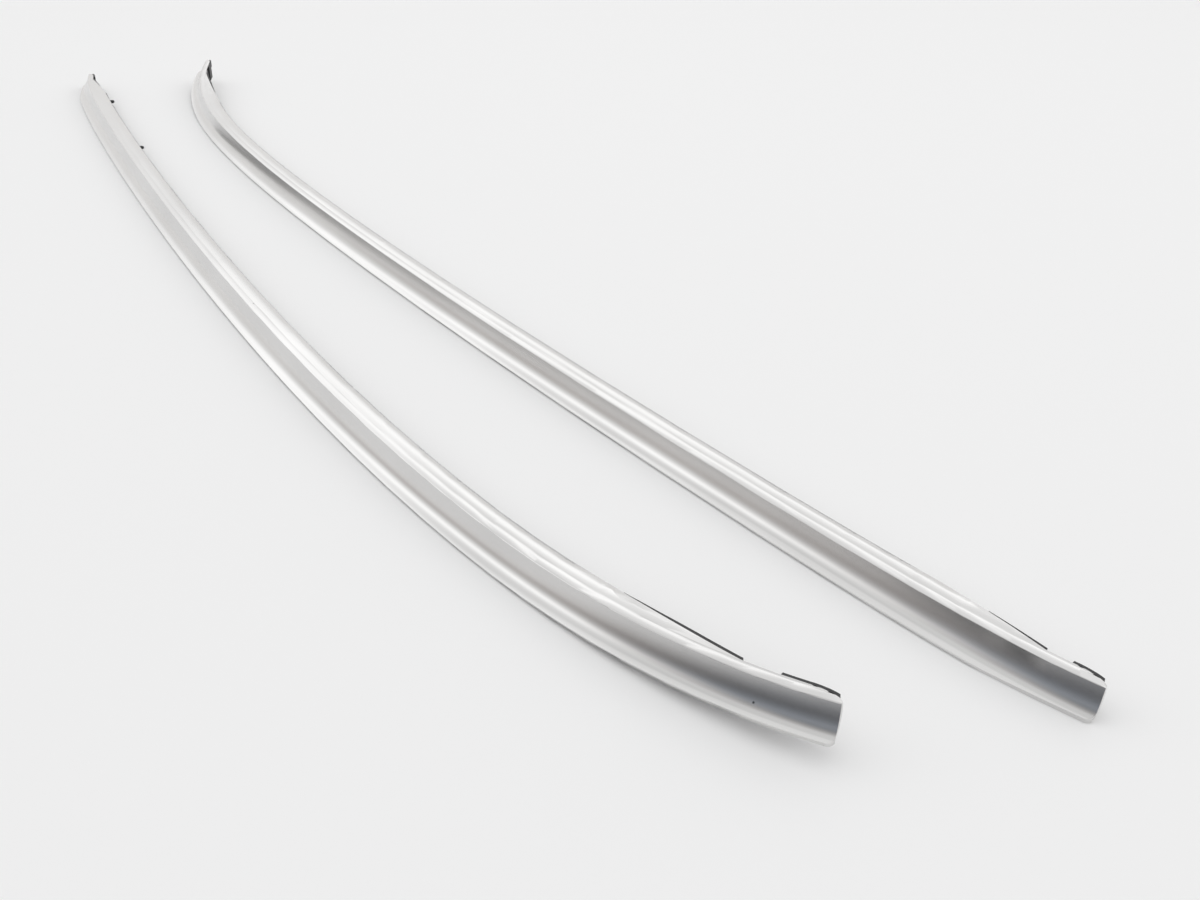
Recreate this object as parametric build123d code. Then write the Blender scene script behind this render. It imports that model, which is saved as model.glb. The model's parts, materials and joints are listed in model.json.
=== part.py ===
"""Pair of flush roof side rails for an estate car, lying on the floor on their inner faces.

Each rail is one bowed aluminium extrusion with a coved upper face, a sharp ridge and a narrow outer face.
Its lower side carries a rubber gasket, a sealing base in each trimmed end, slot nuts in their carriers and
two locating pins.  The right rail is the mirror image of the left one.

Section coordinates: "drop" runs from the top edge of the rail to its roof side, "out" runs from the inner
face to the outer face.  As the rail lies here, drop is level and out points upwards.
"""
import math
import os

from build123d import *

# Length and bow of one rail, measured along its top edge from the front end
RAIL_LENGTH = 1900.0
ARCH_RADIUS = 14000.0
FRONT_TURN = 26.8
FRONT_TURN_REACH = 222.0
REAR_TURN = 11.5
REAR_TURN_REACH = 70.0
FRONT_LIFT = 13.7
FRONT_LIFT_REACH = 317.0
STATIONS = 17
PATH_STEP = 5.0

# Outer section
SECTION_DROP = 37.2
RIDGE_DROP = 16.0
RIDGE_OUT = 20.9
COVE_DEPTH = 4.0
CREASE_DROP = 23.6
CREASE_OUT = 21.6
CROWN_RISE = 1.1
FOOT_OUT = 20.0
GROOVE_WIDTH = 1.8
GROOVE_DEPTH = 0.4
NOSE_LAND = 2.0
NOSE_BREAK = 0.6
RIDGE_BREAK = 0.5
FOOT_BREAK = 0.8

# Walls, base web and slot
WALL = 2.2
WEB_THICKNESS = 2.5
RECESS_DEPTH = 4.5
SLOT_WIDTH = 8.0

# Trimmed ends
TIP_DROP = 24.2
FRONT_TRIM_START = 240.0
FRONT_TRIM_END = 74.0
REAR_TRIM_START = 165.0
REAR_TRIM_END = 46.0
TIP_SKIN = 24.0
NOSE_CORNER = 5.5
REAR_EASE = 3.0
REAR_EASE_LENGTH = 85.0
TIP_CORNER_LENGTH = 24.0
TIP_CORNER_DROP = 8.0
TIP_CORNER_LEAD = 0.4
MILL_OVERCUT = 0.2
CUT_MARGIN = 12.0

# Gasket and sealing bases
FIT = 0.15
GASKET_PROUD = 1.0
GASKET_WINDOW_GAP = 1.0
SEAL_THICKNESS = 2.4
SEAL_THINNEST = 0.4
SEAL_RAMP = 60.0
SEAL_INSET = 0.1
SEAL_ROOT = 0.3
SEAL_SETBACK = 4.0
TONGUE_WIDTH = 3.0
BASE_DEPTH = 5.5
PLUG_LENGTH = 9.0
FRONT_BASE_END = 235.0
REAR_BASE_END = 130.0
FRONT_NOTCH = 29.0
REAR_NOTCH = 19.0
FRONT_SEAL_FADE = 50.0
REAR_SEAL_FADE = 35.0
TRIM_STATIONS = 9
BASE_STATIONS = 9

# Slot nuts, their carriers and the locating pins
NUT_FRONT_GAP = 65.0
NUT_PIN_GAP = 96.0
NUT_COUNT = 5
NUT_LENGTH = 22.0
NUT_THICKNESS = 6.0
NUT_BORE = 5.0
CARRIER_WALL = 1.2
CARRIER_SIDE_GAP = 0.6
CARRIER_KEY_LENGTH = 16.0
CARRIER_KEY_WALL = 0.65
PIN_REAR_GAP = 28.0
PIN_PITCH = 278.0
PIN_DIAMETER = 5.0
PIN_PROUD = 8.5
PIN_TAPER = 2.5
PIN_TIP_DIAMETER = 3.0
PIN_HEAD_WIDTH = 13.0
PIN_HEAD_THICKNESS = 3.0
PIN_COLLAR_WIDTH = 10.0

# How the two rails lie beside each other
RAIL_SPACING = 167.0
RAIL_STAGGER = 44.0
RAIL_SPREAD = 1.94

OUTER_WALL_INSIDE = FOOT_OUT - WALL
WEB_TOP = SECTION_DROP - RECESS_DEPTH - WEB_THICKNESS
WEB_UNDERSIDE = SECTION_DROP - RECESS_DEPTH
SLOT_CENTRE = (WALL + OUTER_WALL_INSIDE) / 2
NUT_WIDTH = OUTER_WALL_INSIDE - WALL - 2 * (CARRIER_WALL + CARRIER_SIDE_GAP)
CARRIER_KEY_WIDTH = SLOT_WIDTH - 2 * FIT


def turned(s):
    """Angle, in radians, that the top edge has turned through between the front end and s."""
    front = math.radians(FRONT_TURN) * (1 - math.exp(-s / FRONT_TURN_REACH))
    rear = math.radians(REAR_TURN) * math.exp(-(RAIL_LENGTH - s) / REAR_TURN_REACH)
    return s / ARCH_RADIUS + front + rear


def heading(s):
    """Direction of the top edge at s, zero at mid length."""
    return turned(RAIL_LENGTH / 2) - turned(s)


def lift(s):
    """Height of the top edge over the floor at s."""
    return FRONT_LIFT * max(0.0, 1 - s / FRONT_LIFT_REACH) ** 2


def top_edge(s):
    """Point of the top edge at s, with mid length at the origin."""
    half = RAIL_LENGTH / 2
    steps = max(1, math.ceil(abs(s - half) / PATH_STEP))
    ds = (s - half) / steps
    x = 0.0
    y = 0.0
    for i in range(steps):
        angle = heading(half + (i + 0.5) * ds)
        x -= ds * math.cos(angle)
        y -= ds * math.sin(angle)
    return Vector(x, y, lift(s))


def section_plane(s):
    """Plane of the section at s: its x axis is drop and its y axis is out."""
    angle = heading(s)
    slope = (lift(s + 1) - lift(s - 1)) / 2
    forward = Vector(math.cos(angle), math.sin(angle), -slope)
    return Plane(top_edge(s), x_dir=(-math.sin(angle), math.cos(angle), 0), z_dir=forward)


def spread(first, last, count):
    """Evenly spaced places from first to last."""
    return [first + (last - first) * i / (count - 1) for i in range(count)]


def crowded(first, last, count):
    """Places from first to last that lie closer together towards both ends."""
    places = []
    for share in spread(0, 1, count):
        eased = (1 - math.cos(math.pi * share)) / 2
        places.append(first + (last - first) * (share + eased) / 2)
    return places


def cove_offset(depth, out):
    """Drop of the cove at a given height, at a depth under its surface."""
    nose = Vector(0, NOSE_LAND)
    ridge = Vector(RIDGE_DROP, RIDGE_OUT)
    chord = ridge - nose
    radius = (chord.length ** 2 / 4 + COVE_DEPTH ** 2) / (2 * COVE_DEPTH)
    centre = nose + chord / 2 + chord.normalized().rotate(Axis.Z, 90) * (radius - COVE_DEPTH)
    return centre.X + math.sqrt((radius + depth) ** 2 - (out - centre.Y) ** 2)


def cove_arc(depth, first, last):
    """Arc between two heights, at a depth under the surface of the cove."""
    outs = (first, (first + last) / 2, last)
    return ThreePointArc(*[(cove_offset(depth, out), out) for out in outs])


def crown_out(drop):
    """Height of the crowned lower band of the outer face at a given drop."""
    crease = Vector(CREASE_DROP, CREASE_OUT)
    chord = Vector(SECTION_DROP, FOOT_OUT) - crease
    radius = (chord.length ** 2 / 4 + CROWN_RISE ** 2) / (2 * CROWN_RISE)
    centre = crease + chord / 2 - chord.normalized().rotate(Axis.Z, 90) * (radius - CROWN_RISE)
    return centre.Y + math.sqrt(radius ** 2 - (drop - centre.X) ** 2)


def strip_out(drop):
    """Height of the flat strip between the ridge and the crease at a given drop."""
    return RIDGE_OUT + (drop - RIDGE_DROP) * (CREASE_OUT - RIDGE_OUT) / (CREASE_DROP - RIDGE_DROP)


def outer_outline():
    """Outside of the section from the roof side, round the top edge, to the outer foot."""
    cove_top = RIDGE_OUT - RIDGE_BREAK
    strip_start = RIDGE_DROP + RIDGE_BREAK
    groove_near = CREASE_DROP - GROOVE_WIDTH
    groove_floor = (CREASE_DROP - GROOVE_WIDTH / 2, CREASE_OUT - GROOVE_DEPTH)
    crown_end = SECTION_DROP - FOOT_BREAK
    crown_drops = (CREASE_DROP, (CREASE_DROP + crown_end) / 2, crown_end)
    return [
        Polyline((SECTION_DROP, 0), (NOSE_BREAK, 0), (0, NOSE_BREAK), (0, NOSE_LAND)),
        cove_arc(0, NOSE_LAND, cove_top),
        Polyline((cove_offset(0, cove_top), cove_top), (strip_start, strip_out(strip_start)),
                 (groove_near, strip_out(groove_near)), groove_floor, (CREASE_DROP, CREASE_OUT)),
        ThreePointArc(*[(drop, crown_out(drop)) for drop in crown_drops]),
        Line((crown_end, crown_out(crown_end)), (SECTION_DROP, FOOT_OUT - FOOT_BREAK)),
    ]


def inner_outline():
    """Inside of the section from the outer foot, round the base web, the slot and the hollow."""
    slot_low = SLOT_CENTRE - SLOT_WIDTH / 2
    slot_high = SLOT_CENTRE + SLOT_WIDTH / 2
    before = Polyline(
        (SECTION_DROP, FOOT_OUT - FOOT_BREAK), (SECTION_DROP, OUTER_WALL_INSIDE),
        (WEB_UNDERSIDE, OUTER_WALL_INSIDE), (WEB_UNDERSIDE, slot_high), (WEB_TOP, slot_high),
        (WEB_TOP, OUTER_WALL_INSIDE), (cove_offset(WALL, OUTER_WALL_INSIDE), OUTER_WALL_INSIDE))
    after = Polyline(
        (cove_offset(WALL, WALL), WALL), (WEB_TOP, WALL), (WEB_TOP, slot_low), (WEB_UNDERSIDE, slot_low),
        (WEB_UNDERSIDE, WALL), (SECTION_DROP, WALL), (SECTION_DROP, 0))
    return [before, cove_arc(WALL, OUTER_WALL_INSIDE, WALL), after]


def ribbon(places, drop_low, drop_high, out_low, out_high):
    """Strip along the rail with a rectangular section whose limits are functions of the place."""
    sections = []
    for s in places:
        low = drop_low(s)
        high = drop_high(s)
        bottom = out_low(s)
        top = out_high(s)
        middle = Pos((low + high) / 2, (bottom + top) / 2)
        sections.append(section_plane(s) * middle * Rectangle(high - low, top - bottom))
    return loft(sections)


def hollow_face(depth, low, high, drop):
    """Face at a depth behind the cove, between two heights and as far as drop."""
    walls = Polyline((cove_offset(depth, low), low), (drop, low), (drop, high),
                     (cove_offset(depth, high), high))
    return make_face([cove_arc(depth, high, low), walls])


def constant(value):
    """Limit of a ribbon that doesn't change along the rail."""
    return lambda s: value


class RailEnd:
    """One trimmed end of the rail, with places measured from its tip."""

    def __init__(self, at_front, trim_start, trim_end, base_end, notch, fade, ease):
        self.at_front = at_front
        self.trim_start = trim_start
        self.trim_end = trim_end
        self.base_end = base_end
        self.notch = notch
        self.fade = fade
        self.ease = ease

    def place(self, distance):
        """Arc length from the front end of a point at a distance from this tip."""
        return distance if self.at_front else RAIL_LENGTH - distance

    def distance(self, s):
        """Distance from this tip of the place s."""
        return s if self.at_front else RAIL_LENGTH - s

    def taper_drop(self, s):
        """Drop of the trimmed lower edge at s, without the rounded corner."""
        share = (self.distance(s) - self.trim_end) / (self.trim_start - self.trim_end)
        share = min(1.0, max(0.0, share))
        return TIP_DROP + (SECTION_DROP - TIP_DROP) * math.sin(share * math.pi / 2)

    def edge_drop(self, s):
        """Drop of the trimmed lower edge at s, with the rounded corner at the tip."""
        reach = (self.distance(s) + TIP_CORNER_LEAD) / TIP_CORNER_LENGTH
        reach = min(1.0, max(0.0, reach))
        corner = TIP_CORNER_DROP * (1 - math.sqrt(1 - (1 - reach) ** 2))
        return self.taper_drop(s) - corner

    def ease_drop(self, s):
        """Drop of the eased top edge at s."""
        share = self.distance(s) / REAR_EASE_LENGTH
        return self.ease * math.cos(share * math.pi / 2)

    def places(self, first, last, count=TRIM_STATIONS):
        """Evenly spaced places between two distances from the tip."""
        return [self.place(d) for d in spread(first, last, count)]

    def corner_places(self):
        """Places along the rounded lower corner of the tip, closest together where it is steepest."""
        steps = spread(0, 1, TRIM_STATIONS)
        return [self.place(TIP_CORNER_LENGTH * step ** 2 - TIP_CORNER_LEAD) for step in steps]

    def nose_cutter(self):
        """Block outside the rounded corner between the tip and the top edge."""
        plane = section_plane(self.place(0))
        inward = plane.z_dir * (-1 if self.at_front else 1)
        side = Plane(plane.origin, x_dir=inward, z_dir=inward.cross(plane.x_dir))
        middle = (NOSE_CORNER - CUT_MARGIN) / 2
        shape = Pos(middle, middle) * Rectangle(NOSE_CORNER + CUT_MARGIN, NOSE_CORNER + CUT_MARGIN)
        shape -= Pos(NOSE_CORNER, NOSE_CORNER) * Circle(NOSE_CORNER)
        return extrude(side * Pos(0, self.ease) * shape, amount=SECTION_DROP, both=True)

    def skin_cutter(self):
        """Everything behind the cove wall and the outer wall at the tip."""
        depth = WALL - MILL_OVERCUT
        high = OUTER_WALL_INSIDE + MILL_OVERCUT
        nose = cove_offset(depth, NOSE_LAND)
        far = SECTION_DROP + CUT_MARGIN
        sides = Polyline((nose, NOSE_LAND), (nose, -CUT_MARGIN), (far, -CUT_MARGIN), (far, high),
                         (cove_offset(depth, high), high))
        face = make_face([cove_arc(depth, high, NOSE_LAND), sides])
        return loft([section_plane(s) * face for s in self.places(-CUT_MARGIN, TIP_SKIN)])

    def ease_cutter(self):
        """Strip that is milled off the top edge towards the tip."""
        return ribbon(self.places(-CUT_MARGIN, REAR_EASE_LENGTH + CUT_MARGIN), constant(-CUT_MARGIN),
                      self.ease_drop, constant(-CUT_MARGIN), constant(SECTION_DROP))

    def cutters(self):
        """What is milled off this end: the web, the inside of the tip, the edges and the corners."""
        below = constant(SECTION_DROP + CUT_MARGIN)
        inside = constant(-CUT_MARGIN)
        outside = constant(SECTION_DROP)
        corner_end = TIP_CORNER_LENGTH - TIP_CORNER_LEAD
        hollow = ribbon(self.places(TIP_SKIN / 2, self.base_end), constant(WEB_TOP - MILL_OVERCUT), below,
                        constant(WALL - MILL_OVERCUT), constant(OUTER_WALL_INSIDE + MILL_OVERCUT))
        corner = ribbon(self.corner_places(), self.edge_drop, below, inside, outside)
        tip = ribbon(self.places(corner_end, self.trim_end), self.taper_drop, below, inside, outside)
        taper = ribbon(self.places(self.trim_end, self.trim_start), self.taper_drop, below, inside, outside)
        cuts = [hollow, self.skin_cutter(), corner, tip, taper, self.nose_cutter()]
        if self.ease:
            cuts.append(self.ease_cutter())
        return cuts

    def end_plug(self):
        """Plug that closes the hollow of the rail behind the tip."""
        low = WALL + FIT
        sections = []
        for s in self.places(TIP_SKIN, TIP_SKIN + PLUG_LENGTH, 3):
            face = hollow_face(low, low, OUTER_WALL_INSIDE - FIT, self.edge_drop(s))
            sections.append(section_plane(s) * face)
        return loft(sections)

    def sealing_base(self):
        """Plastic base that fills this end, with a thin seal along the trimmed edge in two lobes."""
        shallowest = cove_offset(WALL + 2 * FIT, OUTER_WALL_INSIDE)

        def deep(s):
            return max(shallowest, self.edge_drop(s) - BASE_DEPTH)

        def root(s):
            return self.edge_drop(s) + SEAL_ROOT

        def seal_face(s):
            return self.edge_drop(s) + FIT

        def seal_under(s):
            share = min(1.0, (self.base_end - self.fade - self.distance(s)) / SEAL_RAMP)
            return seal_face(s) + SEAL_THINNEST + (SEAL_THICKNESS - SEAL_THINNEST) * share

        def seal_out(s):
            return crown_out(max(self.edge_drop(s), CREASE_DROP)) - SEAL_INSET

        body = ribbon(self.places(TIP_SKIN, self.base_end - FIT, BASE_STATIONS), deep, root,
                      constant(WALL + FIT), constant(OUTER_WALL_INSIDE - FIT))
        tongue_low = OUTER_WALL_INSIDE - TONGUE_WIDTH
        lobes = ((SEAL_SETBACK, TIP_SKIN, tongue_low), (TIP_SKIN, self.trim_end - self.notch, SEAL_INSET),
                 (self.trim_end, self.base_end - self.fade, SEAL_INSET))
        for first, last, low in lobes:
            body += ribbon(self.places(first, last), seal_face, seal_under, constant(low), seal_out)
        return body + self.end_plug()


def rail_profile(ends):
    """The bowed extrusion, milled at both ends."""
    face = make_face(outer_outline() + inner_outline())
    sections = [section_plane(s) * face for s in crowded(0, RAIL_LENGTH, STATIONS)]
    body = loft(sections)
    for end in ends:
        for cutter in end.cutters():
            body -= cutter
    return body


def across(s, drop, diameter, length):
    """Cylinder of a length along drop, centred on the slot, starting at drop."""
    middle = section_plane(s) * Pos(drop + length / 2, SLOT_CENTRE)
    return middle * Rot(0, 90, 0) * Cylinder(diameter / 2, length)


def block(s, drop, thickness, width, length):
    """Block of a thickness along drop, centred on the slot, starting at drop."""
    return section_plane(s) * Pos(drop + thickness / 2, SLOT_CENTRE) * Box(thickness, width, length)


def pin_places():
    """Places of the locating pins along the rail, ahead of the rear sealing base."""
    rear_pin = RAIL_LENGTH - REAR_BASE_END - PIN_REAR_GAP
    return [rear_pin, rear_pin - PIN_PITCH]


def nut_places():
    """Places of the slot nuts, evenly spread between the front sealing base and the rear pin."""
    return spread(pin_places()[0] - NUT_PIN_GAP, FRONT_BASE_END + NUT_FRONT_GAP, NUT_COUNT)


def slot_nut(s):
    """Tapped plate that is drawn against the inside of the web."""
    drop = WEB_TOP - FIT - CARRIER_WALL - NUT_THICKNESS
    plate = block(s, drop, NUT_THICKNESS, NUT_WIDTH, NUT_LENGTH)
    return plate - across(s, drop, NUT_BORE, NUT_THICKNESS)


def nut_carrier(s):
    """Plastic tray that holds a slot nut and keys into the slot."""
    depth = NUT_THICKNESS + CARRIER_WALL
    drop = WEB_TOP - FIT - depth
    wall = 2 * CARRIER_WALL
    tray = block(s, drop, depth, NUT_WIDTH + wall, NUT_LENGTH + wall)
    tray -= block(s, drop, NUT_THICKNESS, NUT_WIDTH, NUT_LENGTH)
    key = block(s, WEB_TOP - FIT, WEB_THICKNESS, CARRIER_KEY_WIDTH, CARRIER_KEY_LENGTH)
    window = block(s, drop, depth + WEB_THICKNESS, CARRIER_KEY_WIDTH - 2 * CARRIER_KEY_WALL,
                   CARRIER_KEY_LENGTH - wall)
    return tray + key - window


def locating_pin(s):
    """Plastic pin with a square head inside the hollow, a collar in the recess and a tapered tip."""
    head = block(s, WEB_TOP - FIT - PIN_HEAD_THICKNESS, PIN_HEAD_THICKNESS, PIN_HEAD_WIDTH, PIN_HEAD_WIDTH)
    tip_drop = SECTION_DROP + PIN_PROUD
    shank = across(s, WEB_TOP - FIT, PIN_DIAMETER, tip_drop - PIN_TAPER - WEB_TOP + FIT)
    collar = block(s, WEB_UNDERSIDE + FIT, RECESS_DEPTH, PIN_COLLAR_WIDTH, PIN_COLLAR_WIDTH)
    taper = section_plane(s) * Pos(tip_drop - PIN_TAPER / 2, SLOT_CENTRE) * Rot(0, 90, 0) * Cone(
        PIN_DIAMETER / 2, PIN_TIP_DIAMETER / 2, PIN_TAPER)
    return head + shank + collar + taper


def base_gasket(front, rear):
    """Rubber strip in the recess under the web, with a window at each fixing."""
    places = crowded(front.base_end + FIT, RAIL_LENGTH - rear.base_end - FIT, STATIONS)
    strip = ribbon(places, constant(WEB_UNDERSIDE + FIT), constant(SECTION_DROP + GASKET_PROUD),
                   constant(WALL + FIT), constant(OUTER_WALL_INSIDE - FIT))
    window = PIN_COLLAR_WIDTH + 2 * GASKET_WINDOW_GAP
    for s in nut_places() + pin_places():
        strip -= block(s, WEB_UNDERSIDE, RECESS_DEPTH + GASKET_PROUD + CUT_MARGIN, window, window)
    return strip


def left_rail():
    """Every piece of the left rail, in its own frame."""
    front = RailEnd(True, FRONT_TRIM_START, FRONT_TRIM_END, FRONT_BASE_END, FRONT_NOTCH,
                    FRONT_SEAL_FADE, 0.0)
    rear = RailEnd(False, REAR_TRIM_START, REAR_TRIM_END, REAR_BASE_END, REAR_NOTCH,
                   REAR_SEAL_FADE, REAR_EASE)
    return {
        "rail_profile": [rail_profile((front, rear))],
        "base_gasket": [base_gasket(front, rear)],
        "front_sealing_base": [front.sealing_base()],
        "rear_sealing_base": [rear.sealing_base()],
        "slot_nuts": [slot_nut(s) for s in nut_places()],
        "nut_carriers": [nut_carrier(s) for s in nut_places()],
        "locating_pins": [locating_pin(s) for s in pin_places()],
    }


def lay_pair():
    """Both rails side by side, each turned a little from the long axis."""
    nodes = {}
    left_place = Pos(-RAIL_STAGGER / 2, -RAIL_SPACING / 2) * Rot(0, 0, -RAIL_SPREAD)
    right_place = Pos(RAIL_STAGGER / 2, RAIL_SPACING / 2) * Rot(0, 0, RAIL_SPREAD)
    for name, pieces in left_rail().items():
        nodes["left_" + name] = [left_place * piece for piece in pieces]
        nodes["right_" + name] = [right_place * mirror(piece, about=Plane.YZ) for piece in pieces]
    return nodes


def main():
    """Build the pair, centre it on the floor and write one file for each node."""
    nodes = {name: Compound([s for piece in pieces for s in piece.solids()])
             for name, pieces in lay_pair().items()}
    box = Compound(list(nodes.values())).bounding_box()
    centre = Pos(-box.center().X, -box.center().Y, -box.min.Z)
    os.makedirs("parts", exist_ok=True)
    for name, shape in nodes.items():
        export_step(centre * shape, os.path.join("parts", name + ".step"))


main()
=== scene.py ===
"""Looks of a pair of roof side rails that lie on a pale studio floor."""

import json
import logging
import math
from dataclasses import dataclass
from enum import Enum
from typing import Dict, List, Sequence, Tuple

import bmesh
import bpy
import numpy as np
from mathutils import Matrix, Vector


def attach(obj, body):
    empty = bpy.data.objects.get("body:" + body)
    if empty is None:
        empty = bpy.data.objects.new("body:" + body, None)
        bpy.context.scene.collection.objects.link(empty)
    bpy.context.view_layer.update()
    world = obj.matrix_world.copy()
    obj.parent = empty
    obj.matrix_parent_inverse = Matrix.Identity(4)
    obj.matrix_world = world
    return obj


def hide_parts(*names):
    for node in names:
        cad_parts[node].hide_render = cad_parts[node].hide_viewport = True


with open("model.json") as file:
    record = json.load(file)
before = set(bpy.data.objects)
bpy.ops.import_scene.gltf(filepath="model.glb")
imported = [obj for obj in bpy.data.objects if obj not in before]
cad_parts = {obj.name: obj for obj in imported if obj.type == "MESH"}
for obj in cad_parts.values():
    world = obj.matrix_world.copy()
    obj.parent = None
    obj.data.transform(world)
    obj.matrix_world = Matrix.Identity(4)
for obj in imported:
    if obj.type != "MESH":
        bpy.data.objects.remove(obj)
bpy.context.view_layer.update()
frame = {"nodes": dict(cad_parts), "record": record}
log = logging.getLogger("roof_rails")

Colour = Tuple[float, float, float]
Place = Tuple[float, float, float]


class Side(Enum):
    """Which rail of the pair a piece belongs to."""

    LEFT = "left"
    RIGHT = "right"


class Graph:
    """Short way to add and link the nodes of one tree."""

    def __init__(self, tree: bpy.types.NodeTree) -> None:
        """Keep the tree.

        Args:
            tree: the node tree to fill.
        """
        self.tree = tree

    def add(self, kind: str, inputs: Dict[object, object] = None, **settings: object) -> bpy.types.Node:
        """Add a node.

        Args:
            kind: the node's type name.
            inputs: values or output sockets by input name or number.
            settings: attributes of the node.

        Returns:
            The new node.
        """
        node = self.tree.nodes.new(kind)
        for name, value in settings.items():
            setattr(node, name, value)
        for key, value in (inputs or {}).items():
            socket = node.inputs[key]
            if isinstance(value, bpy.types.NodeSocket):
                self.tree.links.new(value, socket)
            else:
                socket.default_value = value
        return node

    def math(self, operation: str, *values: object) -> bpy.types.NodeSocket:
        """Add a math node.

        Args:
            operation: the operation's name.
            values: numbers or sockets, in order.

        Returns:
            The result's socket.
        """
        return self.add("ShaderNodeMath", dict(enumerate(values)), operation=operation).outputs[0]

    def ramp(self, factor: bpy.types.NodeSocket, stops: Sequence[Tuple[float, Colour]]) -> bpy.types.NodeSocket:
        """Add a colour ramp.

        Args:
            factor: where on the ramp.
            stops: places and colours.

        Returns:
            The colour's socket.
        """
        node = self.add("ShaderNodeValToRGB", {0: factor})
        elements = node.color_ramp.elements
        while len(elements) < len(stops):
            elements.new(0.5)
        for element, (place, colour) in zip(elements, stops):
            element.position = place
            element.color = (*colour, 1.0)
        return node.outputs["Color"]


def new_material(name: str) -> Tuple[bpy.types.Material, Graph, bpy.types.Node]:
    """Make an empty node material.

    Args:
        name: the material's name.

    Returns:
        The material, its graph and its principled shader.
    """
    material = bpy.data.materials.new(name)
    material.use_nodes = True
    graph = Graph(material.node_tree)
    shader = material.node_tree.nodes["Principled BSDF"]
    return material, graph, shader


@dataclass(frozen=True)
class AnodisedAluminium:
    """Satin anodised extrusion with faint lines drawn along its length and two specks of dirt."""

    name: str = "satin_aluminium"
    pale: Colour = (0.71, 0.705, 0.70)
    deep: Colour = (0.66, 0.655, 0.65)
    roughness: float = 0.19
    roughness_spread: float = 0.03
    line_scale: Tuple[float, float, float] = (2.0, 420.0, 420.0)
    cloud_scale: float = 6.0
    specks: Tuple[Place, ...] = ((0.11756, -0.11967, 0.02143), (0.86068, -0.05799, 0.01619))
    speck_size: float = 0.0008
    speck_tone: Colour = (0.20, 0.20, 0.20)

    def build(self) -> bpy.types.Material:
        """Make the material.

        Returns:
            The aluminium material.
        """
        material, graph, shader = new_material(self.name)
        place = graph.add("ShaderNodeTexCoord").outputs["Object"]
        lines = graph.add("ShaderNodeMapping", {"Vector": place, "Scale": self.line_scale}).outputs[0]
        drawn = graph.add("ShaderNodeTexNoise", {"Vector": lines, "Scale": 1.0, "Detail": 2.0}).outputs["Fac"]
        cloud = graph.add("ShaderNodeTexNoise", {"Vector": place, "Scale": self.cloud_scale, "Detail": 2.0})
        tint = graph.ramp(cloud.outputs["Fac"], ((0.3, self.deep), (0.7, self.pale)))
        for speck in self.specks:
            reach = graph.add("ShaderNodeVectorMath", {0: place, 1: speck}, operation="DISTANCE").outputs["Value"]
            dirt = graph.math("LESS_THAN", reach, self.speck_size)
            mixed = graph.add("ShaderNodeMix", {0: dirt, 6: tint, 7: (*self.speck_tone, 1.0)}, data_type="RGBA")
            tint = mixed.outputs[2]
        low = self.roughness - self.roughness_spread / 2
        rough = graph.math("MULTIPLY_ADD", drawn, self.roughness_spread, low)
        graph.tree.links.new(tint, shader.inputs["Base Color"])
        graph.tree.links.new(rough, shader.inputs["Roughness"])
        shader.inputs["Metallic"].default_value = 1.0
        return material


@dataclass(frozen=True)
class Moulded:
    """Dark moulded plastic or rubber with a fine skin texture."""

    name: str
    colour: Colour
    worn: Colour
    roughness: float
    texture_scale: float
    texture_depth: float
    cloud_scale: float = 40.0
    roughness_spread: float = 0.15
    roughness_drop: float = 0.07
    bump_strength: float = 0.3

    def build(self) -> bpy.types.Material:
        """Make the material.

        Returns:
            The moulded material.
        """
        material, graph, shader = new_material(self.name)
        place = graph.add("ShaderNodeTexCoord").outputs["Object"]
        cloud = graph.add("ShaderNodeTexNoise", {
            "Vector": place, "Scale": self.cloud_scale, "Detail": 3.0}).outputs["Fac"]
        skin = graph.add("ShaderNodeTexNoise", {"Vector": place, "Scale": self.texture_scale}).outputs["Fac"]
        tint = graph.ramp(cloud, ((0.35, self.colour), (0.75, self.worn)))
        rough = graph.math("MULTIPLY_ADD", skin, self.roughness_spread, self.roughness - self.roughness_drop)
        bump = graph.add("ShaderNodeBump", {
            "Strength": self.bump_strength, "Distance": self.texture_depth, "Height": skin})
        graph.tree.links.new(tint, shader.inputs["Base Color"])
        graph.tree.links.new(rough, shader.inputs["Roughness"])
        graph.tree.links.new(bump.outputs[0], shader.inputs["Normal"])
        return material


@dataclass(frozen=True)
class ZincSteel:
    """Zinc plated steel with a faint spangle."""

    name: str = "zinc_steel"
    bright: Colour = (0.66, 0.66, 0.64)
    dull: Colour = (0.50, 0.50, 0.49)
    roughness: float = 0.32
    roughness_spread: float = 0.15
    spangle_scale: float = 350.0

    def build(self) -> bpy.types.Material:
        """Make the material.

        Returns:
            The plated steel material.
        """
        material, graph, shader = new_material(self.name)
        place = graph.add("ShaderNodeTexCoord").outputs["Object"]
        spangle = graph.add("ShaderNodeTexVoronoi", {
            "Vector": place, "Scale": self.spangle_scale}).outputs["Distance"]
        tint = graph.ramp(spangle, ((0.1, self.bright), (0.7, self.dull)))
        rough = graph.math("MULTIPLY_ADD", spangle, self.roughness_spread, self.roughness)
        graph.tree.links.new(tint, shader.inputs["Base Color"])
        graph.tree.links.new(rough, shader.inputs["Roughness"])
        shader.inputs["Metallic"].default_value = 1.0
        return material


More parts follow.
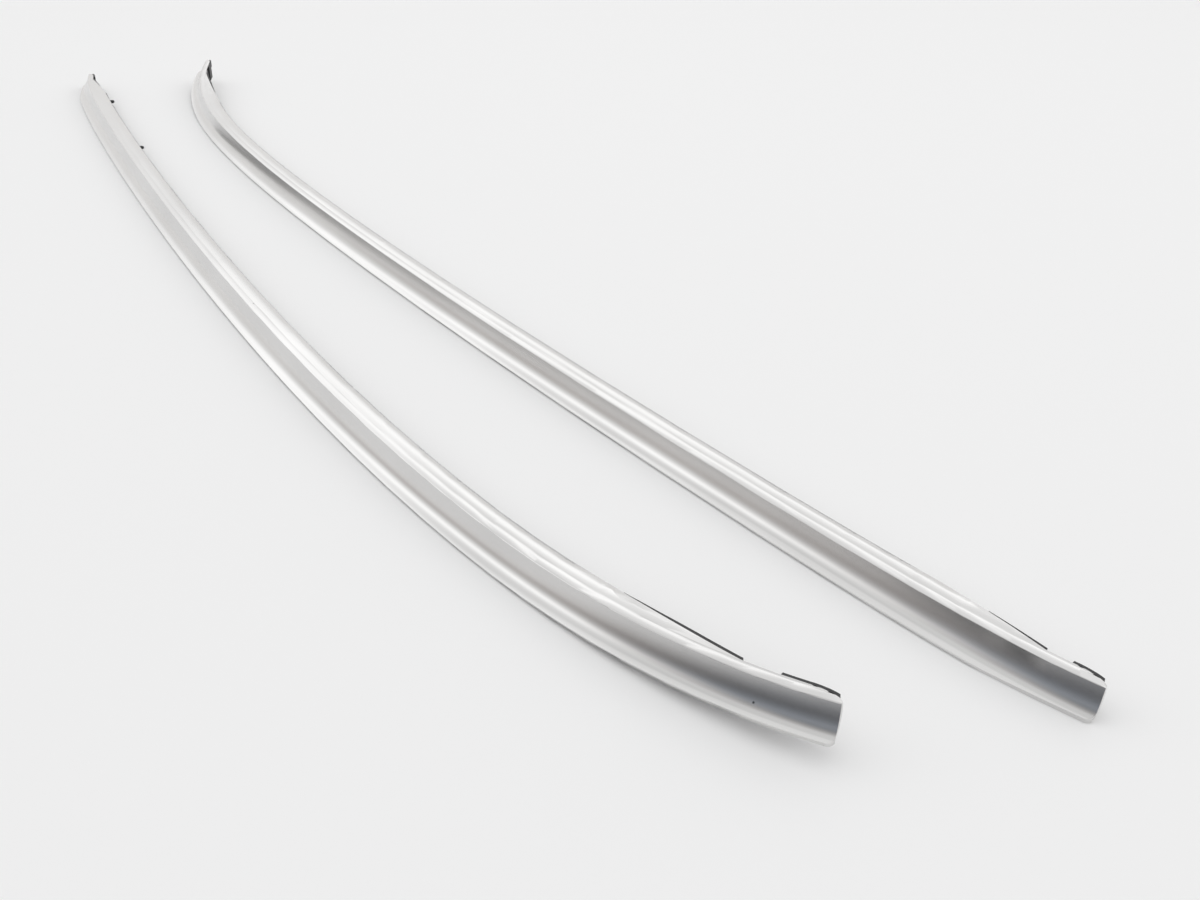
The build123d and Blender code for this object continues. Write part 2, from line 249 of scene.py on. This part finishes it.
@dataclass(frozen=True)
class RailCurve:
    """Bowed path of a rail and the edges of its face, in millimetres."""

    length: float = 1900.0
    arch_radius: float = 14000.0
    front_turn: float = 26.8
    front_reach: float = 222.0
    rear_turn: float = 11.5
    rear_reach: float = 70.0
    front_lift: float = 13.7
    lift_reach: float = 317.0
    pair_spread: float = 1.94
    pair_spacing: float = 167.0
    pair_stagger: float = 44.0
    pair_centring: float = -54.056
    nose: Tuple[float, float] = (0.0, 2.0)
    ridge: Tuple[float, float] = (16.0, 20.9)
    step: float = 1.0
    margin: float = 20.0
    refinements: int = 3

    def stations(self) -> Dict[str, np.ndarray]:
        """Work out the path at close stations.

        Returns:
            Arrays of distance, place, heading and slope.
        """
        s = np.arange(-self.margin, self.length + self.margin + self.step / 2, self.step)
        front = math.radians(self.front_turn) * (1 - np.exp(-s / self.front_reach))
        rear = math.radians(self.rear_turn) * np.exp(-(self.length - s) / self.rear_reach)
        turned = s / self.arch_radius + front + rear
        middle = self.length / 2
        heading = np.interp(middle, s, turned) - turned
        between = (heading[1:] + heading[:-1]) / 2
        x = np.concatenate([[0.0], np.cumsum(-np.cos(between) * self.step)])
        y = np.concatenate([[0.0], np.cumsum(-np.sin(between) * self.step)])
        z = self.front_lift * np.maximum(0.0, 1 - s / self.lift_reach) ** 2
        place = np.stack([x - np.interp(middle, s, x), y - np.interp(middle, s, y), z], axis=1)
        return {"s": s, "place": place, "heading": heading, "slope": np.gradient(z, s)}

    def turn(self, side: Side, vectors: np.ndarray, back: bool) -> np.ndarray:
        """Turn vectors between the drawing of one rail and the laid pair.

        Args:
            side: which rail.
            vectors: rows of vectors.
            back: whether to go from the pair to the drawing.

        Returns:
            The turned rows.
        """
        sign = 1.0 if side is Side.LEFT else -1.0
        angle = math.radians(-sign * self.pair_spread)
        flip = np.diag([sign, 1.0, 1.0])
        cos, sin = math.cos(angle), math.sin(angle)
        spin = np.array([[cos, -sin, 0.0], [sin, cos, 0.0], [0.0, 0.0, 1.0]])
        laid = spin @ flip
        return vectors @ laid if back else vectors @ laid.T

    def unroll(self, side: Side, points: np.ndarray) -> Tuple[np.ndarray, np.ndarray, np.ndarray]:
        """Find where points lie in the section of the rail.

        Args:
            side: which rail.
            points: rows of places in the laid pair.

        Returns:
            Drop and out of each point, and the directions of drop and out at it in the laid pair.
        """
        sign = 1.0 if side is Side.LEFT else -1.0
        aside = -sign * self.pair_spacing / 2 + self.pair_centring
        origin = np.array([-sign * self.pair_stagger / 2, aside, 0.0])
        local = self.turn(side, points - origin, True)
        path = self.stations()
        gap = local[:, None, :2] - path["place"][None, :, :2]
        s = path["s"][np.argmin((gap ** 2).sum(axis=2), axis=1)]
        for _ in range(self.refinements):
            place = np.stack([np.interp(s, path["s"], path["place"][:, i]) for i in range(3)], axis=1)
            heading = np.interp(s, path["s"], path["heading"])
            slope = np.interp(s, path["s"], path["slope"])
            onward = np.stack([-np.cos(heading), -np.sin(heading), slope], axis=1)
            s = s + ((local - place) * onward).sum(axis=1)
        onward /= np.linalg.norm(onward, axis=1, keepdims=True)
        drop_way = np.stack([-np.sin(heading), np.cos(heading), np.zeros_like(heading)], axis=1)
        out_way = np.cross(-onward, drop_way)
        gap = local - place
        section = np.stack([(gap * drop_way).sum(axis=1), (gap * out_way).sum(axis=1)], axis=1)
        return section, self.turn(side, drop_way, False), self.turn(side, out_way, False)


@dataclass(frozen=True)
class RailFace:
    """Rail profile whose shown face runs nearly straight under the ridge and hollow above the nose."""

    side: Side
    curve: RailCurve = RailCurve()
    solid_hollow: float = 4.0
    straight_angle: float = 21.5
    hollow_reach: float = 6.8
    mesh_cuts: int = 3
    tolerance: float = 0.08
    crease_angle: float = 20.0
    merge_reach: float = 1e-6
    facing_limit: float = 0.8

    def solid_circle(self, chord: np.ndarray, outward: np.ndarray) -> Tuple[np.ndarray, float]:
        """Work out the circle of the solid's hollow face.

        Args:
            chord: from the nose to the ridge.
            outward: unit vector that points out of the face.

        Returns:
            Centre and radius of the circle.
        """
        width = np.linalg.norm(chord)
        radius = (width ** 2 / 4 + self.solid_hollow ** 2) / (2 * self.solid_hollow)
        return np.array(self.curve.nose) + chord / 2 + outward * (radius - self.solid_hollow), radius

    def shown_depth(self, along: np.ndarray, width: float) -> Tuple[np.ndarray, np.ndarray]:
        """Work out the hollow of the shown face under its chord.

        Args:
            along: distances from the nose along the chord.
            width: length of the chord.

        Returns:
            Depths and their slopes.
        """
        fall = math.tan(math.radians(self.straight_angle))
        start = fall * width / (self.hollow_reach * (1 - math.exp(-width / self.hollow_reach)))
        fade = np.exp(-along / self.hollow_reach)
        return start * self.hollow_reach * (1 - fade) - fall * along, start * fade - fall

    def on_face(self, section: np.ndarray, chord: np.ndarray, outward: np.ndarray) -> np.ndarray:
        """Tell which points lie on the solid's hollow face.

        Args:
            section: rows of drop and out.
            chord: from the nose to the ridge.
            outward: unit vector that points out of the face.

        Returns:
            A truth value for each point.
        """
        centre, radius = self.solid_circle(chord, outward)
        near = np.abs(np.linalg.norm(section - centre, axis=1) - radius) < self.tolerance
        low, high = self.curve.nose[1] - self.tolerance, self.curve.ridge[1]
        return near & (section[:, 1] > low) & (section[:, 1] < high)

    def build(self, material: bpy.types.Material) -> bpy.types.Object:
        """Copy the profile, move its face to the shown hollow and give it true normals.

        Args:
            material: the finish of the profile.

        Returns:
            The new piece.
        """
        node = f"{self.side.value}_rail_profile"
        chord = np.array(self.curve.ridge) - np.array(self.curve.nose)
        width = float(np.linalg.norm(chord))
        chord_way = chord / width
        outward = np.array([-chord_way[1], chord_way[0]])
        shape = bmesh.new()
        shape.from_mesh(frame["nodes"][node].data)
        bmesh.ops.remove_doubles(shape, verts=shape.verts, dist=self.merge_reach)
        section, _, _ = self.curve.unroll(self.side, np.array([vertex.co for vertex in shape.verts]) * 1000.0)
        mark = shape.verts.layers.int.new("on_face")
        for vertex, hit in zip(shape.verts, self.on_face(section, chord, outward)):
            vertex[mark] = int(hit)
        inside = [edge for edge in shape.edges if all(vertex[mark] for vertex in edge.verts)]
        bmesh.ops.subdivide_edges(shape, edges=inside, cuts=self.mesh_cuts, use_grid_fill=True)
        bmesh.ops.triangulate(shape, faces=shape.faces)
        mesh = bpy.data.meshes.new(f"{self.side.value}_rail_face")
        shape.to_mesh(mesh)
        shape.free()
        on_face = np.array([entry.value for entry in mesh.attributes["on_face"].data]) > 0
        points = np.array([vertex.co for vertex in mesh.vertices]) * 1000.0
        section, drop_way, out_way = self.curve.unroll(self.side, points)
        offset = section - np.array(self.curve.nose)
        along = np.clip(offset @ chord_way, 0.0, width)
        depth, slope = self.shown_depth(along, width)
        lift = np.where(on_face, -(offset @ outward) - depth, 0.0)
        points += lift[:, None] * (outward[0] * drop_way + outward[1] * out_way)
        mesh.vertices.foreach_set("co", (points / 1000.0).ravel())
        mesh.materials.append(material)
        mesh.update()
        mesh.shade_smooth()
        mesh.set_sharp_from_angle(angle=math.radians(self.crease_angle))
        facing = (outward + slope[:, None] * chord_way) / np.sqrt(1 + slope[:, None] ** 2)
        normals = facing[:, :1] * drop_way + facing[:, 1:] * out_way
        loops = np.zeros((len(mesh.loops), 3))
        for face in mesh.polygons:
            corners = list(face.vertices)
            if on_face[corners].all() and np.dot(normals[corners[0]], face.normal) > self.facing_limit:
                loops[list(face.loop_indices)] = normals[corners]
        mesh.normals_split_custom_set(loops.tolist())
        piece = bpy.data.objects.new(mesh.name, mesh)
        bpy.context.scene.collection.objects.link(piece)
        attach(piece, "root")
        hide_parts(node)
        log.info("%s: %d points moved, %.2f to %.2f mm", mesh.name, int(on_face.sum()), lift.min(), lift.max())
        return piece


def geometry_tree(name: str, inputs: Dict[str, str]) -> Tuple[Graph, bpy.types.Node]:
    """Start a geometry tree.

    Args:
        name: the tree's name.
        inputs: socket types by the input's name.

    Returns:
        The tree's graph and its input node.
    """
    tree = bpy.data.node_groups.new(name, "GeometryNodeTree")
    for label, kind in inputs.items():
        tree.interface.new_socket(label, in_out="INPUT", socket_type=kind)
    tree.interface.new_socket("Geometry", in_out="OUTPUT", socket_type="NodeSocketGeometry")
    graph = Graph(tree)
    return graph, graph.add("NodeGroupInput")


def close_tree(graph: Graph, instances: bpy.types.NodeSocket, material: bpy.types.NodeSocket) -> None:
    """End a geometry tree with real meshes that wear a material.

    Args:
        graph: the tree's graph.
        instances: the instances to keep.
        material: the material's socket.
    """
    real = graph.add("GeometryNodeRealizeInstances", {"Geometry": instances}).outputs[0]
    dressed = graph.add("GeometryNodeSetMaterial", {"Geometry": real, "Material": material}).outputs[0]
    graph.add("NodeGroupOutput", {0: dressed})


def grow(name: str, tree: bpy.types.NodeTree, values: Dict[str, object]) -> bpy.types.Object:
    """Run a geometry tree once and keep its result as a plain piece of the rail.

    Args:
        name: the new piece's name.
        tree: the geometry tree.
        values: the tree's inputs by name.

    Returns:
        The new piece.
    """
    seed = bpy.data.objects.new(f"{name}_seed", bpy.data.meshes.new(f"{name}_seed"))
    bpy.context.scene.collection.objects.link(seed)
    modifier = seed.modifiers.new("grow", "NODES")
    modifier.node_group = tree
    for item in tree.interface.items_tree:
        if item.item_type == "SOCKET" and item.in_out == "INPUT":
            modifier[item.identifier] = values[item.name]
    ready = seed.evaluated_get(bpy.context.evaluated_depsgraph_get())
    mesh = bpy.data.meshes.new_from_object(ready)
    mesh.name = name
    seed.modifiers.clear()
    bpy.data.objects.remove(seed)
    piece = bpy.data.objects.new(name, mesh)
    bpy.context.scene.collection.objects.link(piece)
    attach(piece, "root")
    log.info("%s: %d faces", name, len(mesh.polygons))
    return piece


@dataclass(frozen=True)
class CrushRibs:
    """Row of low, flat ribs that are moulded on the roof side of a gasket, in metres."""

    side: Side
    pitch: float = 0.025
    count: int = 75
    first: Place = (-0.925, 1.0, 0.01)
    size: Tuple[float, float, float] = (0.010, 0.0012, 0.008)
    guard: float = 0.007
    reach: float = 4.0

    def tree(self) -> bpy.types.NodeTree:
        """Build the tree that drops ribs on the gasket along its length.

        Returns:
            The geometry tree.
        """
        graph, given = geometry_tree("crush_ribs", {
            "Gasket": "NodeSocketObject", "First": "NodeSocketVector", "Pitch": "NodeSocketFloat",
            "Count": "NodeSocketInt", "Rib Size": "NodeSocketVector", "Guard": "NodeSocketFloat",
            "Material": "NodeSocketMaterial"})
        ask = given.outputs
        gasket = graph.add("GeometryNodeObjectInfo", {"Object": ask["Gasket"]}).outputs["Geometry"]
        step = graph.add("ShaderNodeCombineXYZ", {"X": ask["Pitch"]}).outputs[0]
        row = graph.add("GeometryNodeMeshLine", {
            "Count": ask["Count"], "Start Location": ask["First"], "Offset": step})
        place = graph.add("GeometryNodeInputPosition").outputs[0]
        seats: List[bpy.types.Node] = []
        for share in (0.0, 1.0, -1.0):
            shift = graph.add("ShaderNodeCombineXYZ", {"X": graph.math("MULTIPLY", ask["Guard"], share)}).outputs[0]
            source = graph.add("ShaderNodeVectorMath", {0: place, 1: shift}, operation="ADD").outputs[0]
            seats.append(graph.add("GeometryNodeRaycast", {
                "Target Geometry": gasket, "Source Position": source, "Ray Direction": (0.0, -1.0, 0.0),
                "Ray Length": self.reach}))
        hits = [seat.outputs["Is Hit"] for seat in seats]
        both = graph.add("FunctionNodeBooleanMath", {0: hits[1], 1: hits[2]}, operation="AND").outputs[0]
        clear = graph.add("FunctionNodeBooleanMath", {0: both, 1: hits[0]}, operation="NAND").outputs[0]
        kept = graph.add("GeometryNodeDeleteGeometry", {"Geometry": row.outputs[0], "Selection": clear}).outputs[0]
        noted = graph.add("GeometryNodeStoreNamedAttribute", {
            "Geometry": kept, "Name": "facing", "Value": seats[0].outputs["Hit Normal"]},
            data_type="FLOAT_VECTOR").outputs[0]
        seated = graph.add("GeometryNodeSetPosition", {
            "Geometry": noted, "Position": seats[0].outputs["Hit Position"]}).outputs[0]
        facing = graph.add("GeometryNodeInputNamedAttribute", {"Name": "facing"}, data_type="FLOAT_VECTOR").outputs[0]
        turn = graph.add("FunctionNodeAlignRotationToVector", {"Vector": facing}, axis="Y").outputs[0]
        rib = graph.add("GeometryNodeMeshCube", {"Size": ask["Rib Size"]}).outputs[0]
        ribs = graph.add("GeometryNodeInstanceOnPoints", {"Points": seated, "Instance": rib, "Rotation": turn})
        close_tree(graph, ribs.outputs[0], ask["Material"])
        return graph.tree

    def build(self, material: bpy.types.Material) -> bpy.types.Object:
        """Mould the ribs on the gasket of one rail.

        Args:
            material: the gasket's rubber.

        Returns:
            The new piece.
        """
        values = {"Gasket": frame["nodes"][f"{self.side.value}_base_gasket"], "First": self.first,
                  "Pitch": self.pitch, "Count": self.count, "Rib Size": self.size, "Guard": self.guard,
                  "Material": material}
        return grow(f"{self.side.value}_crush_ribs", self.tree(), values)


@dataclass(frozen=True)
class NutThreads:
    """Thread ridges in the bores of one rail's slot nuts, in metres."""

    side: Side
    radius: float = 0.0025
    pitch: float = 0.001
    length: float = 0.0052
    ridge: float = 0.00032
    turn_steps: int = 20
    ridge_sides: int = 3

    def tree(self) -> bpy.types.NodeTree:
        """Build the tree that winds one ridge in each bore.

        Returns:
            The geometry tree.
        """
        graph, given = geometry_tree("nut_threads", {
            "Bores": "NodeSocketObject", "Radius": "NodeSocketFloat", "Pitch": "NodeSocketFloat",
            "Length": "NodeSocketFloat", "Ridge": "NodeSocketFloat", "Material": "NodeSocketMaterial"})
        ask = given.outputs
        bores = graph.add("GeometryNodeObjectInfo", {"Object": ask["Bores"]}).outputs["Geometry"]
        winding = graph.add("GeometryNodeCurveSpiral", {
            "Resolution": self.turn_steps, "Rotations": graph.math("DIVIDE", ask["Length"], ask["Pitch"]),
            "Start Radius": ask["Radius"], "End Radius": ask["Radius"], "Height": ask["Length"]}).outputs[0]
        ring = graph.add("GeometryNodeCurvePrimitiveCircle", {
            "Resolution": self.ridge_sides, "Radius": ask["Ridge"]}).outputs[0]
        ridge = graph.add("GeometryNodeCurveToMesh", {"Curve": winding, "Profile Curve": ring, "Fill Caps": True})
        back = graph.add("ShaderNodeCombineXYZ", {"Z": graph.math("MULTIPLY", ask["Length"], -0.5)}).outputs[0]
        middle = graph.add("GeometryNodeTransform", {"Geometry": ridge.outputs[0], "Translation": back}).outputs[0]
        axis = graph.add("GeometryNodeInputNamedAttribute", {"Name": "axis"}, data_type="FLOAT_VECTOR").outputs[0]
        turn = graph.add("FunctionNodeAlignRotationToVector", {"Vector": axis}, axis="Z").outputs[0]
        threads = graph.add("GeometryNodeInstanceOnPoints", {"Points": bores, "Instance": middle, "Rotation": turn})
        close_tree(graph, threads.outputs[0], ask["Material"])
        return graph.tree

    def build(self, material: bpy.types.Material) -> bpy.types.Object:
        """Cut the threads of one rail's nuts.

        Args:
            material: the nuts' steel.

        Returns:
            The new piece.
        """
        bores = [mount for mount in frame["record"]["mounts"]
                 if mount["kind"] == "threaded_hole" and mount["name"].startswith(self.side.value)]
        mesh = bpy.data.meshes.new("bore_points")
        mesh.from_pydata([tuple(bore["pos_m"]) for bore in bores], [], [])
        axes = mesh.attributes.new("axis", "FLOAT_VECTOR", "POINT")
        for entry, bore in zip(axes.data, bores):
            entry.vector = bore["axis"]
        points = bpy.data.objects.new("bore_points", mesh)
        bpy.context.scene.collection.objects.link(points)
        values = {"Bores": points, "Radius": self.radius, "Pitch": self.pitch, "Length": self.length,
                  "Ridge": self.ridge, "Material": material}
        piece = grow(f"{self.side.value}_nut_threads", self.tree(), values)
        bpy.data.objects.remove(points)
        return piece


@dataclass(frozen=True)
class Rail:
    """One rail of the pair, dressed node by node."""

    side: Side

    def dress(self, finishes: Dict[str, bpy.types.Material]) -> None:
        """Give each node of the rail its material.

        Args:
            finishes: materials by the ending of a node's name.
        """
        for ending, material in finishes.items():
            node = frame["nodes"][f"{self.side.value}_{ending}"]
            node.data.materials.clear()
            node.data.materials.append(material)
            log.info("%s wears %s", node.name, material.name)


@dataclass(frozen=True)
class Studio:
    """Pale floor, soft light that is darker to one side, and the camera."""

    floor_size: float = 14.0
    floor_colour: Colour = (0.93, 0.93, 0.93)
    floor_roughness: float = 0.6
    sensor_width: float = 36.0
    camera_place: Place = (1.3598, -0.4617, 0.5334)
    camera_heading: Tuple[float, float] = (-0.85908, 0.51184)
    camera_pitch: float = 28.576
    focal_pixels: float = 1353.4
    frame_width: float = 1200.0
    lamp_place: Place = (-0.4, 0.9, 2.4)
    lamp_size: Tuple[float, float] = (3.2, 2.4)
    lamp_power: float = 4.0
    world_strength: float = 1.06
    pale_side: Colour = (0.84, 0.83, 0.82)
    dark_side: Colour = (0.56, 0.53, 0.515)
    side_span: Tuple[float, float] = (0.42, 0.62)
    skirt_span: Tuple[float, float] = (0.06, 0.14)
    rise_span: Tuple[float, float] = (0.17, 0.32)
    heights: Tuple[Tuple[float, float], ...] = ((0.3, 0.9), (0.48, 1.45), (0.66, 0.9), (0.8, 0.76))
    dark_heading: Place = (0.123, -0.925, 0.36)
    dusk: Tuple[Tuple[float, Colour], ...] = (
        (0.72, (1.0, 1.0, 1.0)), (0.82, (0.68, 0.67, 0.665)),
        (0.89, (0.42, 0.42, 0.425)), (0.96, (0.21, 0.225, 0.25)))

    def build_floor(self) -> None:
        """Lay the floor."""
        half = self.floor_size / 2
        mesh = bpy.data.meshes.new("studio_floor")
        mesh.from_pydata([(-half, -half, 0), (half, -half, 0), (half, half, 0), (-half, half, 0)], [], [(0, 1, 2, 3)])
        floor = bpy.data.objects.new("studio_floor", mesh)
        bpy.context.scene.collection.objects.link(floor)
        material, _, shader = new_material("studio_floor")
        shader.inputs["Base Color"].default_value = (*self.floor_colour, 1.0)
        shader.inputs["Roughness"].default_value = self.floor_roughness
        mesh.materials.append(material)

    def build_lamp(self) -> None:
        """Hang the soft lamp above the floor."""
        data = bpy.data.lights.new("soft_box", "AREA")
        data.shape = "RECTANGLE"
        data.size, data.size_y = self.lamp_size
        data.energy = self.lamp_power
        lamp = bpy.data.objects.new("soft_box", data)
        lamp.location = self.lamp_place
        lamp.rotation_euler = (-Vector(self.lamp_place)).to_track_quat("-Z", "Y").to_euler()
        bpy.context.scene.collection.objects.link(lamp)

    def build_world(self) -> None:
        """Light the room: pale low down, brighter half-way up, brown and then dark to one side."""
        world = bpy.data.worlds.new("studio_world")
        bpy.context.scene.world = world
        world.use_nodes = True
        graph = Graph(world.node_tree)
        direction = graph.add("ShaderNodeTexCoord").outputs["Generated"]
        parts = graph.add("ShaderNodeSeparateXYZ", {0: direction}).outputs
        toward = graph.math("MULTIPLY", parts["Y"], -1.0)
        side = graph.ramp(toward, tuple(zip(self.side_span, (self.pale_side, self.dark_side))))
        high = graph.ramp(parts["Z"], tuple((height, (level,) * 3) for height, level in self.heights))
        skirt, rise = (
            graph.add("ShaderNodeMapRange", {0: parts["Z"], 1: start, 2: end}).outputs[0]
            for start, end in (self.skirt_span, self.rise_span))
        pale = (*self.pale_side, 1.0)
        low = graph.add("ShaderNodeMix", {0: skirt, 6: pale, 7: side}, data_type="RGBA").outputs[2]
        room = graph.add("ShaderNodeMix", {0: rise, 6: low, 7: high}, data_type="RGBA").outputs[2]
        aside = graph.add(
            "ShaderNodeVectorMath", {0: direction, 1: self.dark_heading}, operation="DOT_PRODUCT")
        shade = graph.ramp(aside.outputs["Value"], self.dusk)
        colour = graph.add("ShaderNodeVectorMath", {0: room, 1: shade}, operation="MULTIPLY").outputs["Vector"]
        background = world.node_tree.nodes["Background"]
        graph.tree.links.new(colour, background.inputs["Color"])
        background.inputs["Strength"].default_value = self.world_strength

    def build_camera(self) -> None:
        """Set the camera at the photograph's viewing angle."""
        data = bpy.data.cameras.new("camera")
        data.sensor_fit = "HORIZONTAL"
        data.sensor_width = self.sensor_width
        data.lens = self.focal_pixels / self.frame_width * data.sensor_width
        camera = bpy.data.objects.new("camera", data)
        pitch = math.radians(self.camera_pitch)
        level = Vector((*self.camera_heading, 0.0)).normalized()
        look = level * math.cos(pitch) - Vector((0.0, 0.0, math.sin(pitch)))
        turn = look.to_track_quat("-Z", "Y").to_matrix().to_4x4()
        camera.matrix_world = Matrix.Translation(self.camera_place) @ turn
        bpy.context.scene.collection.objects.link(camera)
        bpy.context.scene.camera = camera

    def build(self) -> None:
        """Set up floor, light and camera."""
        self.build_floor()
        self.build_lamp()
        self.build_world()
        self.build_camera()
        bpy.context.scene.view_settings.view_transform = "Standard"


def main() -> None:
    """Dress both rails and set up the studio."""
    logging.basicConfig(level=logging.INFO)
    plastic = Moulded(
        name="black_plastic", colour=(0.012, 0.012, 0.013), worn=(0.022, 0.022, 0.023), roughness=0.5,
        texture_scale=1800.0, texture_depth=0.00004)
    rubber = Moulded(
        name="black_rubber", colour=(0.016, 0.016, 0.016), worn=(0.03, 0.03, 0.03), roughness=0.75,
        texture_scale=900.0, texture_depth=0.00006)
    black = plastic.build()
    finishes = {
        "rail_profile": AnodisedAluminium().build(),
        "base_gasket": rubber.build(),
        "front_sealing_base": black,
        "rear_sealing_base": black,
        "slot_nuts": ZincSteel().build(),
        "nut_carriers": black,
        "locating_pins": black,
    }
    for side in Side:
        Rail(side).dress(finishes)
        RailFace(side).build(finishes["rail_profile"])
        CrushRibs(side).build(finishes["base_gasket"])
        NutThreads(side).build(finishes["slot_nuts"])
    Studio().build()


if __name__ == "__main__":
    main()
